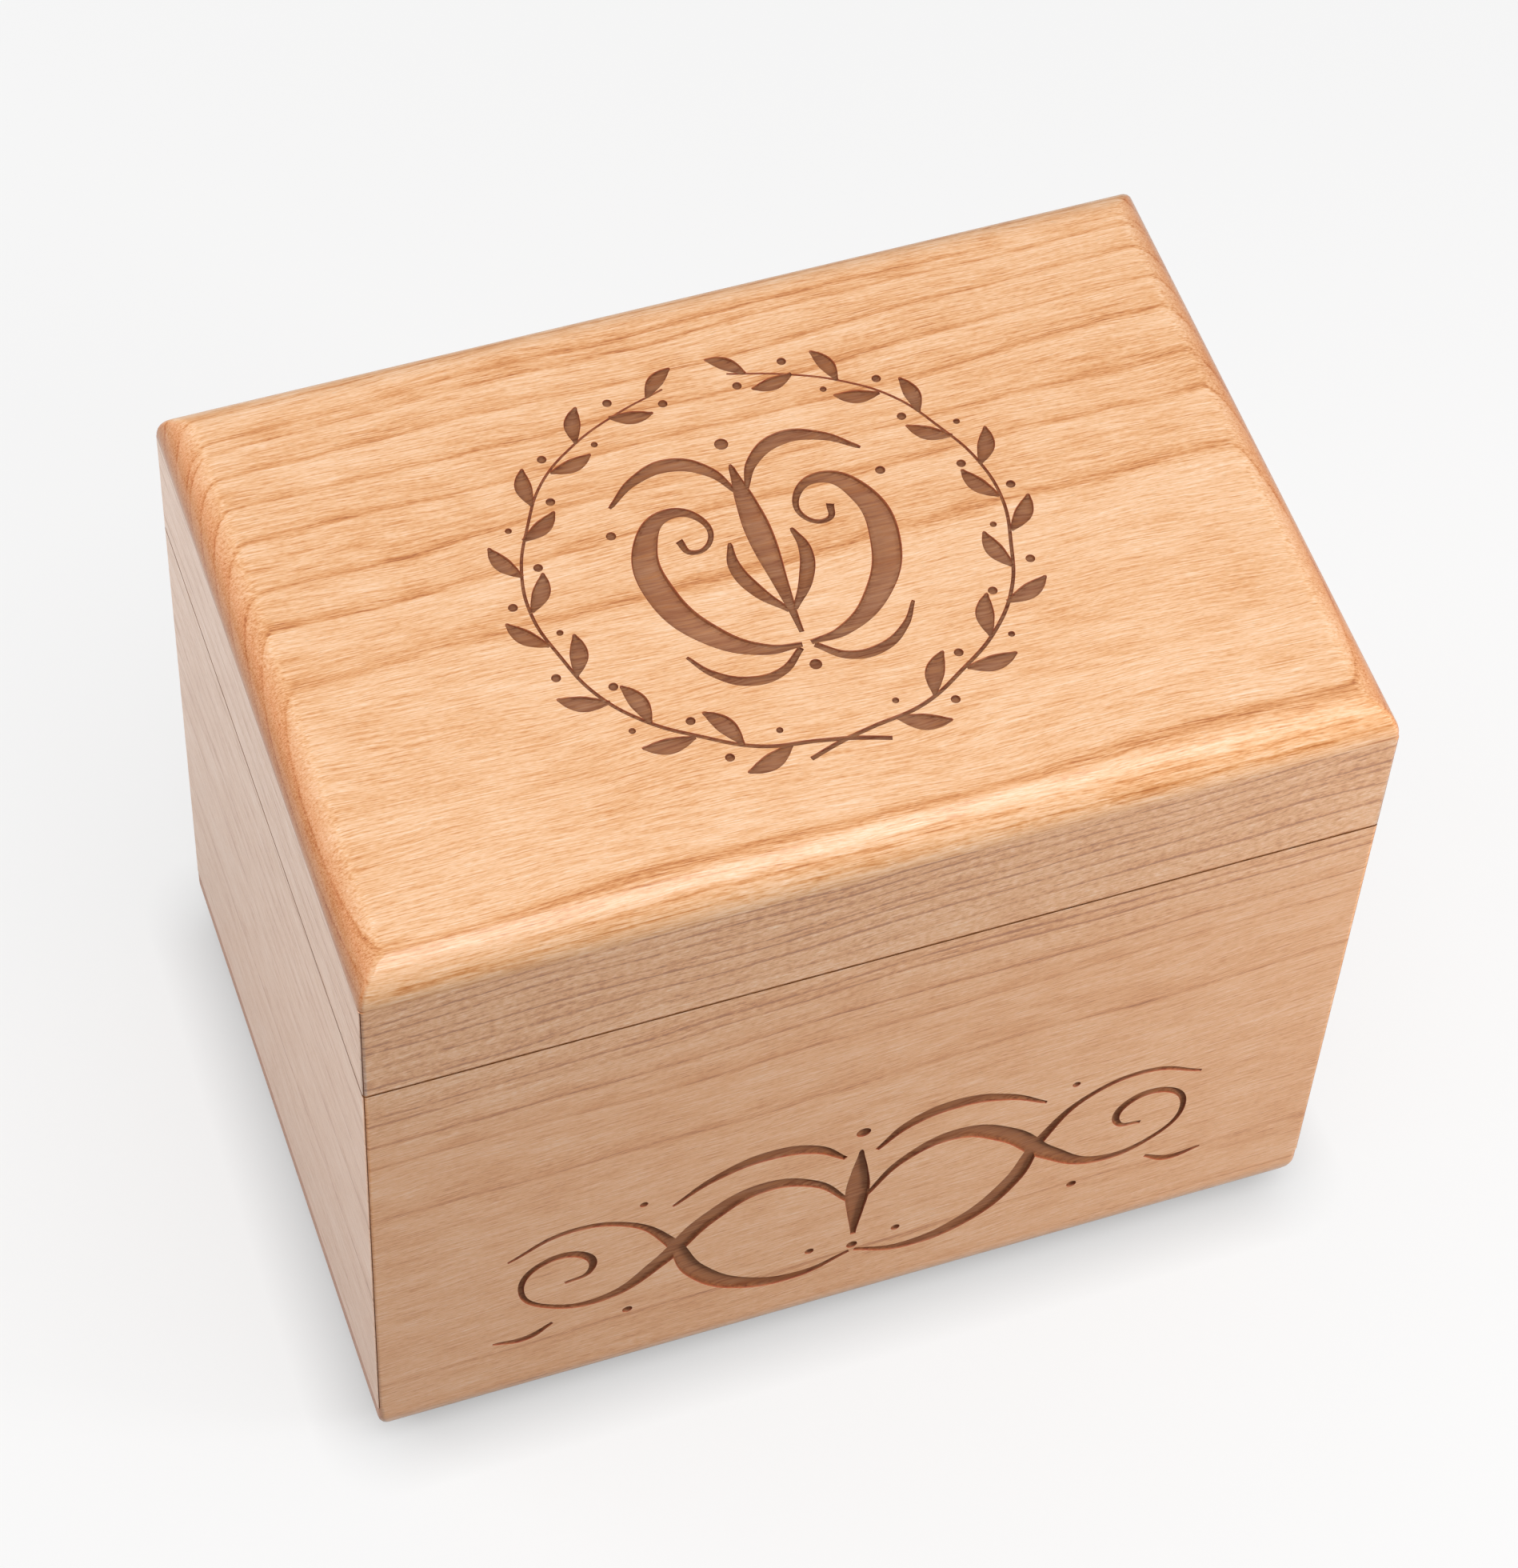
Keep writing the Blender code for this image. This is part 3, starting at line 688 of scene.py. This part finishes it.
def engraving_cutters(name, strokes, dots, place):
    """A cutter for each stroke and dot of an ornament, drawn flat in millimetres, then put on its face."""
    shapes = [swept_stroke(stroke) for stroke in strokes] + [flat_dot(*dot) for dot in dots]
    cutters = []
    for number, bm in enumerate(shapes):
        for vert in bm.verts:
            depth = CUT_DEPTH * (1 - math.exp(-max(-vert.co.z, 0) / SOFT_DEPTH))
            vert.co.z = OVERRUN / MM if vert.co.z > ABOVE else -depth
        for face in bm.faces:
            face.material_index = CUT_SLOT
        bmesh.ops.scale(bm, vec=(MM, MM, MM), verts=bm.verts)
        bmesh.ops.transform(bm, matrix=place, verts=bm.verts)
        cutters.append(new_object(f"{name}_{number}", bm, engraved["top"]))
    print(name, "has", len(strokes), "strokes and", len(dots), "dots")
    return cutters


def mirrored(strokes):
    """The strokes and their mirror images."""
    return strokes + [[(-x, y, width) for x, y, width in stroke] for stroke in strokes]


# %% [markdown]
# The lid carries a wreath of two sprigs that grow from the bottom and nearly meet at the top, a very
# old ornament. Each sprig is an arc, with leaves that spring from it by turns outwards and inwards,
# and berries between them. A loop places them, so the leaves can be counted or turned by one number.
# Inside the wreath stands a fleuron of scrolls and leaves, drawn on the right and mirrored.

# %% The wreath and the fleuron on the lid
WREATH_RADII = (42.5, 40.0)      # sideways and upwards. Lengths here are in millimetres
SPRIG_START, SPRIG_END = math.radians(-84), math.radians(82)
STEM_FOOT = ((-99, 3.4), (-92, 1.1))     # degrees round the wreath and distance out of it, where stems cross
FOOT_WIDTH, STEM_WIDTH, STEM_TAPER = 0.45, 0.42, 0.018   # half widths, and how much each step takes off
STEM_STEPS, STEM_WAVE, WAVE_TURN = 12, 0.35, 2.2         # the stem waves a little from step to step
LEAVES, FIRST_LEAF = 15, 0.6             # how many, and where the first stands, in steps between leaves
LEAF_LEAN, LEAN_CHANGE, LEAN_TURN = 33, 5, 1.7           # degrees off the stem, and how they vary by number
LEAF_LENGTH, LEAF_WIDTH, LEAF_BEND = 9.6, 1.95, 0.13
LENGTH_TAPER, WIDTH_TAPER = 1.8, 0.3     # how much less the last leaf has
LEAF_SHAPE = ((0.0, 0.0, 0.14), (0.22, 0.35, 0.62), (0.5, 0.6, 1.0), (0.78, 0.4, 0.66), (1.0, 0.0, 0.05))
BERRY_TURN, BERRY_OUT, BERRY_TAPER = math.radians(2.5), 3.0, 0.4
BERRY_SIZES = (0.62, 0.85, 0.85)
WREATH_UP = 0.7                          # how far the wreath's centre lies behind the lid's


def on_wreath(turn, outwards=0.0):
    """A point of the wreath's ring, in millimetres, moved outwards from it."""
    sideways, upwards = (radius + outwards for radius in WREATH_RADII)
    return Vector((sideways * math.cos(turn), upwards * math.sin(turn)))


def leaf_stroke(root, heading, length, bend, half_width):
    """A leaf as a stroke: thin at its root, full in the middle, pointed at its tip."""
    ahead = Vector((math.cos(heading), math.sin(heading)))
    aside = Vector((-ahead.y, ahead.x)) * bend
    points = []
    for along, lean, swell in LEAF_SHAPE:
        spot = root + ahead * length * along + aside * length * lean
        points.append((spot.x, spot.y, half_width * swell))
    return points


def sprig():
    """The right sprig of the wreath: its strokes and its berries. Its root crosses that of the left one."""
    stem = []
    for turn, outwards in STEM_FOOT:
        spot = on_wreath(math.radians(turn), outwards)
        stem.append((spot.x, spot.y, FOOT_WIDTH))
    for step in range(STEM_STEPS + 1):
        turn = SPRIG_START + (SPRIG_END - SPRIG_START) * step / STEM_STEPS
        spot = on_wreath(turn, STEM_WAVE * math.sin(step * WAVE_TURN))
        stem.append((spot.x, spot.y, STEM_WIDTH - STEM_TAPER * step))
    strokes, berries = [stem], []
    for number in range(LEAVES):
        share = (number + FIRST_LEAF) / LEAVES
        turn = SPRIG_START + (SPRIG_END - SPRIG_START) * share
        outer = 1 if number % 2 == 0 else -1
        lean = math.radians(LEAF_LEAN + LEAN_CHANGE * math.sin(number * LEAN_TURN))
        strokes.append(leaf_stroke(on_wreath(turn), turn + math.pi / 2 - outer * lean,
                                   LEAF_LENGTH - LENGTH_TAPER * share, -LEAF_BEND * outer,
                                   LEAF_WIDTH - WIDTH_TAPER * share))
        berry = on_wreath(turn + BERRY_TURN, -outer * (BERRY_OUT - BERRY_TAPER * share))
        berries.append((berry.x, berry.y, BERRY_SIZES[number % len(BERRY_SIZES)]))
    return strokes, berries


FLEURON = [
    [(0.8, -20.0, 0.4), (7.0, -19.2, 1.1), (15.0, -13.5, 2.3), (20.3, -3.0, 2.9), (19.6, 8.0, 2.2),
     (14.2, 13.2, 1.2), (8.8, 10.6, 0.6), (8.8, 5.4, 0.45), (12.6, 4.2, 0.5), (13.8, 7.2, 0.75)],
    [(1.2, -20.6, 0.5), (6.0, -24.4, 0.9), (12.0, -24.6, 1.1), (17.4, -21.2, 0.6), (20.4, -16.8, 0.3)],
    [(1.0, 14.6, 0.35), (4.0, 20.0, 1.1), (10.0, 23.4, 1.7), (17.0, 22.0, 1.0), (23.0, 17.4, 0.3)],
    [(0.5, -12.5, 0.3), (4.4, -7.0, 1.5), (6.4, -0.8, 1.3), (5.6, 4.2, 0.25)],
]
SPIRE = [(0, -17.5, 0.3), (0, -7, 1.2), (0, 4, 2.8), (0, 13, 1.8), (0, 20.5, 0.2)]
sprig_strokes, sprig_berries = sprig()
lid_dots = sprig_berries + [(-x, y, radius) for x, y, radius in sprig_berries]
lid_dots += [(0, 25.2, 1.25), (0, -24.6, 1.1), (24.6, 11.6, 0.9), (-24.6, 11.6, 0.9)]
cut_out(lid_board, engraving_cutters("lid_engraving", mirrored(sprig_strokes + FLEURON) + [SPIRE], lid_dots,
                                     Matrix.Translation(TOP_FACE + Y * WREATH_UP * MM)))


# %% [markdown]
# The front carries a wide flourish: long waves that swell on the way down and end in spirals, drawn on
# the right and mirrored, with a pointed drop between them. It is drawn flat like the first ornament
# and stood up against the front.

# %% The flourish on the front
FLOURISH = [
    [(1.5, -1.0, 0.45), (9.0, 9.0, 1.0), (19.0, 12.5, 1.9), (29.0, 7.0, 2.3), (38.0, -4.0, 2.0),
     (48.0, -11.5, 1.1), (58.5, -9.5, 0.6), (64.5, -1.0, 0.5), (60.5, 7.3, 0.9), (52.8, 6.4, 1.1),
     (51.6, -0.4, 0.6), (56.2, -2.0, 0.45)],
    [(0.5, -20.0, 0.35), (10.0, -23.5, 1.0), (22.0, -20.5, 2.0), (31.0, -11.0, 2.2), (36.0, 2.0, 1.2),
     (44.5, 13.0, 0.6), (56.0, 16.2, 0.8), (67.0, 11.0, 0.3)],
    [(3.0, 15.0, 0.35), (9.0, 21.0, 1.4), (18.0, 23.5, 1.8), (28.0, 20.8, 1.0), (36.0, 15.0, 0.3)],
    [(58.5, -15.5, 0.25), (63.5, -18.6, 1.2), (70.0, -17.6, 0.2)],
]
DROP = [(0, -14, 0.3), (0, -6, 1.6), (0, 2, 2.8), (0, 10, 1.5), (0, 16.5, 0.2)]
front_dots = [(0, 22.5, 1.4), (0, -18.0, 1.1)]
for side in (-1, 1):
    front_dots += [(side * 8.5, -16.0, 0.9), (side * 44.0, -18.5, 1.0), (side * 41.5, 18.5, 0.8)]
FLOURISH_HEIGHT = 43.5 * MM
stood_up = Matrix.Translation((0, -DEPTH / 2, FLOURISH_HEIGHT)) @ Matrix.Rotation(math.pi / 2, 4, "X")
cut_out(walls["box", "front"], engraving_cutters("front_engraving", mirrored(FLOURISH) + [DROP], front_dots,
                                                 stood_up))

# %% [markdown]
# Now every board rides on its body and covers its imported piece.

# %% Boards on their bodies
place_on(lid_board, "lid", "lid_top")
place_on(base_board, "box", "base_board")
for (part, side), wall in walls.items():
    place_on(wall, part, f"{part}_{side}")
boards = [lid_board, base_board] + list(walls.values())
unfinished = [board.name for board in boards if None in board.data.materials[:]]
print("boards with an empty material slot", unfinished)


# %% [markdown]
# The hinges are solid drawn brass: cut from bar, lightly brushed along their length and lacquered. It
# is a warm yellow metal with a medium gloss, in which the brushing shows as fine streaks. The packed
# leaves and pins have the right shape, so each is copied, its doubled points are merged and its flat
# faces joined, and its edges are broken by a small bevel that catches the light. The screws are turned
# anew from a profile, and a slot is cut across each head.

# %% Brass
BRUSHING, TARNISH = (6.0, 0.12, 2.0, 0.6), (7.0, 5.0, 3.0, 0.6)      # their noises, as for the wood
BRUSHING_ROUGHNESS, TARNISH_ROUGHNESS = 0.14, 0.10
TARNISH_LOW, TARNISH_HIGH = 0.35, 0.75
BRUSHING_STRENGTH, BRUSHING_HEIGHT = 0.3, 0.005 * MM


def brass(name, colour, dark, roughness):
    """Brushed brass with a little tarnish."""
    material, tree, shader = new_material(name)
    place = node(tree, "TexCoord", {}).outputs["Object"]
    place = node(tree, "VectorMath", {0: place, "Scale": 1 / MM}, operation="SCALE").outputs[0]
    brushing = streaks(tree, place, *BRUSHING)
    tarnish = streaks(tree, place, *TARNISH)
    tint = ramp(tree, tarnish, [(TARNISH_LOW, colour), (TARNISH_HIGH, dark)]).outputs[0]
    middle = roughness - (BRUSHING_ROUGHNESS + TARNISH_ROUGHNESS) / 2
    gloss = add_up(tree, middle, [(brushing, BRUSHING_ROUGHNESS), (tarnish, TARNISH_ROUGHNESS)])
    bump = node(tree, "Bump", {"Height": brushing, "Strength": BRUSHING_STRENGTH,
                               "Distance": BRUSHING_HEIGHT}).outputs[0]
    tree.links.new(tint, shader.inputs["Base Color"])
    tree.links.new(gloss, shader.inputs["Roughness"])
    tree.links.new(bump, shader.inputs["Normal"])
    shader.inputs["Metallic"].default_value = 1.0
    return material


hinge_brass = brass("brushed_brass", "D2AC62", "A9803F", 0.32)
screw_brass = brass("turned_brass", "C29C55", "97713A", 0.36)
print("brass", hinge_brass.name, "and", screw_brass.name)

# %% Hinges and screws
HINGE_BREAK = 0.12 * MM
FLAT_ANGLE = math.radians(1)     # faces that meet at less than this are joined
# the screw from the middle of its head to its point: radius and height in millimetres
SCREW_PROFILE = ((0, 0), (1.9, 0), (2.06, -0.1), (2.06, -0.22), (1.1, -1.15), (1.1, -7.6), (0.3, -9.3),
                 (0, -9.45))
SCREW_STEPS = 28
SLOT_WIDTH, SLOT_DEPTH = 0.75 * MM, 0.7 * MM
SLOT_REACH = 3 * MM              # past the edge of the head
SLOT_TURN = 40                   # radians per millimetre of its place, so that no two slots lie alike


def softened(name, node_name, width, material):
    """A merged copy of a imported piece, with its sharp edges broken by a small bevel."""
    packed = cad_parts[node_name]
    bm = bmesh.new()
    bm.from_mesh(packed.data)
    bm.transform(packed.matrix_world)
    bmesh.ops.remove_doubles(bm, verts=bm.verts, dist=MERGE)
    bmesh.ops.dissolve_limit(bm, angle_limit=FLAT_ANGLE, verts=bm.verts, edges=bm.edges)
    sharp = [edge for edge in bm.edges if len(edge.link_faces) == 2 and edge.calc_face_angle() > SMOOTH_ANGLE]
    bmesh.ops.bevel(bm, geom=sharp, offset=width, segments=2, profile=0.5, affect="EDGES",
                    clamp_overlap=True, material=-1)
    return new_object(name, bm, [material])


def slotted_screw(name, node_name, up):
    """A countersunk screw whose head faces up, or down where up is -1, in place of a packed one."""
    low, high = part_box(node_name)
    head = Vector(((low.x + high.x) / 2, (low.y + high.y) / 2, high.z if up > 0 else low.z))
    bm = bmesh.new()
    points = [bm.verts.new((radius * MM, 0, up * height * MM)) for radius, height in SCREW_PROFILE]
    outline = [bm.edges.new(pair) for pair in zip(points, points[1:])]
    bmesh.ops.spin(bm, geom=points + outline, axis=(0, 0, 1), angle=math.tau, steps=SCREW_STEPS,
                   use_merge=True)
    bmesh.ops.remove_doubles(bm, verts=bm.verts, dist=MERGE)
    bmesh.ops.translate(bm, vec=head, verts=bm.verts)
    screw = new_object(name, bm, [screw_brass])
    reach = Vector((SLOT_REACH, SLOT_WIDTH / 2, SLOT_DEPTH))
    slot = block(-reach, reach)
    turned = Matrix.Translation(head) @ Matrix.Rotation(head.x * SLOT_TURN / MM % math.pi, 4, "Z")
    bmesh.ops.transform(slot, matrix=turned, verts=slot.verts)
    return cut_out(screw, [new_object("slot", slot, [screw_brass])])


for hand in HANDS:
    pin = softened(f"{hand}_hinge_turned_pin", f"{hand}_hinge_pin", HINGE_BREAK, hinge_brass)
    place_on(pin, "box", f"{hand}_hinge_pin")
    for part, up in (("box", 1), ("lid", -1)):
        leaf = softened(f"{hand}_{part}_hinge_plate", f"{hand}_hinge_{part}_leaf", HINGE_BREAK, hinge_brass)
        place_on(leaf, part, f"{hand}_hinge_{part}_leaf")
        for spot in ("outer", "inner"):
            node_name = f"{hand}_hinge_{part}_screw_{spot}"
            screw = slotted_screw(f"{hand}_{part}_slotted_screw_{spot}", node_name, up)
            place_on(screw, part, node_name)
print("hinges", len(HANDS), "with edges broken by", round(HINGE_BREAK / MM, 2), "mm")

# %% [markdown]
# The camera stands where the photograph was taken: about 0.9 m away, 55 degrees above the horizon and
# 22 degrees to the left of the front, tilted a little. A long lens keeps the uprights nearly parallel.

# %% The camera
CAMERA_PLACE = Vector((-0.1955, -0.4812, 0.8301))
AIM = Vector((0.00357, 0.00656, 0.0785))
ROLL = math.radians(3.91)
LENS, SENSOR = 113.74, 36.0      # millimetres: the focal length, and the sensor's long side

camera_data = bpy.data.cameras.new("camera")
camera_data.lens = LENS
camera_data.sensor_width = SENSOR
camera = bpy.data.objects.new("camera", camera_data)
bpy.context.scene.collection.objects.link(camera)
looking = (AIM - CAMERA_PLACE).to_track_quat("-Z", "Y").to_matrix().to_4x4()
camera.matrix_world = Matrix.Translation(CAMERA_PLACE) @ looking @ Matrix.Rotation(ROLL, 4, "Z")
bpy.context.scene.camera = camera
print("camera", round((CAMERA_PLACE - AIM).length, 3), "metres from what it looks at")

# %% [markdown]
# A plain studio: a pale floor that carries on past the view, and a white sky that lights the box softly
# from all round. One large soft lamp hangs high above the front, a little to the right: it brightens
# the top and leaves the walls darker, and its reflection draws a bright band along the front's rounded
# edge. Two weaker lamps fill in, from the front right and from the left. The floor's own white gives
# way close to the box, so that a narrow shadow seats it. The levels add up so that a flat colour that
# faces up renders about as it is written.

# %% Floor and light
def ray_kinds(tree):
    """Two numbers that are 1 for a ray seen straight or through glass, and for one seen in a reflection."""
    rays = node(tree, "LightPath", {}).outputs
    straight = node(tree, "Math", {0: rays["Is Camera Ray"], 1: rays["Is Transmission Ray"]},
                    operation="MAXIMUM").outputs[0]
    return straight, rays["Is Glossy Ray"]


FLOOR_SIZE = 3.0                 # metres from the middle to an edge
FLOOR_DROP = 0.05 * MM
FLOOR_WHITE = 0.95
FLOOR_SHARE = 0.76               # how much of the floor's look is its own white, and not the light on it
MIRRORED_WHITE = 0.85            # how far the floor that the lacquer mirrors is from the bounce to the white
FLOOR_SEEN = "E4E4E4"
FLOOR_BOUNCE = "585858"          # the grey that scatters light back to the box
FLOOR_ROUGHNESS = 0.9
CONTACT_WHITE = 0.40             # the floor's own white where it is wholly covered
CONTACT_REACH = 14 * MM          # from the box, where the floor's own white gives way to its shadow
floor_bm = bmesh.new()
bmesh.ops.create_grid(floor_bm, x_segments=1, y_segments=1, size=FLOOR_SIZE)
bmesh.ops.translate(floor_bm, vec=(0, 0, -FLOOR_DROP), verts=floor_bm.verts)
floor_material, floor_tree, floor_shader = new_material("pale_floor")
straight, glossy = ray_kinds(floor_tree)
seen = add_up(floor_tree, 0.0, [(straight, 1.0), (glossy, MIRRORED_WHITE)])
floor_shader.inputs["Roughness"].default_value = FLOOR_ROUGHNESS
floor_shader.inputs["Specular IOR Level"].default_value = 0.0
floor_colour = node(floor_tree, "Mix", {MIX_FACTOR: seen, MIX_A: linear(FLOOR_BOUNCE),
                                        MIX_B: linear(FLOOR_SEEN)}, data_type="RGBA").outputs[MIX_COLOUR]
floor_tree.links.new(floor_colour, floor_shader.inputs["Base Color"])
near_box = node(floor_tree, "AmbientOcclusion", {"Distance": CONTACT_REACH}).outputs["AO"]
own_white = node(floor_tree, "MapRange", {"Value": near_box, "To Min": CONTACT_WHITE,
                                          "To Max": FLOOR_WHITE}).outputs[0]
white = node(floor_tree, "Emission", {"Color": (1, 1, 1, 1), "Strength": own_white})
share = add_up(floor_tree, 0.0, [(straight, FLOOR_SHARE)])
blend = node(floor_tree, "MixShader", {0: share, 1: floor_shader.outputs[0], 2: white.outputs[0]})
floor_tree.links.new(blend.outputs[0], floor_tree.nodes["Material Output"].inputs["Surface"])
floor = new_object("floor", floor_bm, [floor_material])

SKY_LIGHT = 0.38
HORIZON_LIGHT = 0.40             # what the lacquer mirrors near the horizon, where a studio is darker
HORIZON, SKY_TOP = 0.1, 0.6      # heights of a ray's direction between which that turns to white
world = bpy.data.worlds.new("studio")
bpy.context.scene.world = world
world.use_nodes = True
world_tree = world.node_tree
sky = world_tree.nodes["Background"]
direction = node(world_tree, "TexCoord", {}).outputs["Generated"]
upwards = node(world_tree, "SeparateXYZ", {0: direction}).outputs[2]
mirrored_sky = node(world_tree, "MapRange", {"Value": upwards, "From Min": HORIZON, "From Max": SKY_TOP,
                                             "To Min": HORIZON_LIGHT - SKY_LIGHT,
                                             "To Max": FLOOR_WHITE - SKY_LIGHT}).outputs[0]
straight, glossy = ray_kinds(world_tree)
strength = add_up(world_tree, SKY_LIGHT, [(straight, FLOOR_WHITE - SKY_LIGHT), (glossy, mirrored_sky)])
sky.inputs["Color"].default_value = (1, 1, 1, 1)
world_tree.links.new(strength, sky.inputs["Strength"])


def soft_lamp(name, place, width, height, watts, mirrored):
    """A rectangular area lamp that looks at the box. The lacquer shows its reflection, or does not."""
    data = bpy.data.lights.new(name, "AREA")
    data.shape = "RECTANGLE"
    data.size = width
    data.size_y = height
    data.energy = watts
    lamp = bpy.data.objects.new(name, data)
    lamp.visible_glossy = mirrored
    bpy.context.scene.collection.objects.link(lamp)
    aim = Vector((0, 0, HEIGHT / 2)) - Vector(place)
    lamp.matrix_world = Matrix.Translation(place) @ aim.to_track_quat("-Z", "Y").to_matrix().to_4x4()
    return lamp


soft_lamp("key", (0.07, -0.33, 1.28), width=0.8, height=0.7, watts=9.6, mirrored=True)
soft_lamp("front_fill", (0.50, -0.33, 0.21), width=0.15, height=0.15, watts=2.2, mirrored=False)
soft_lamp("left_fill", (-0.86, 0.34, 0.36), width=0.8, height=0.3, watts=5.0, mirrored=False)
bpy.context.scene.view_settings.view_transform = "Standard"
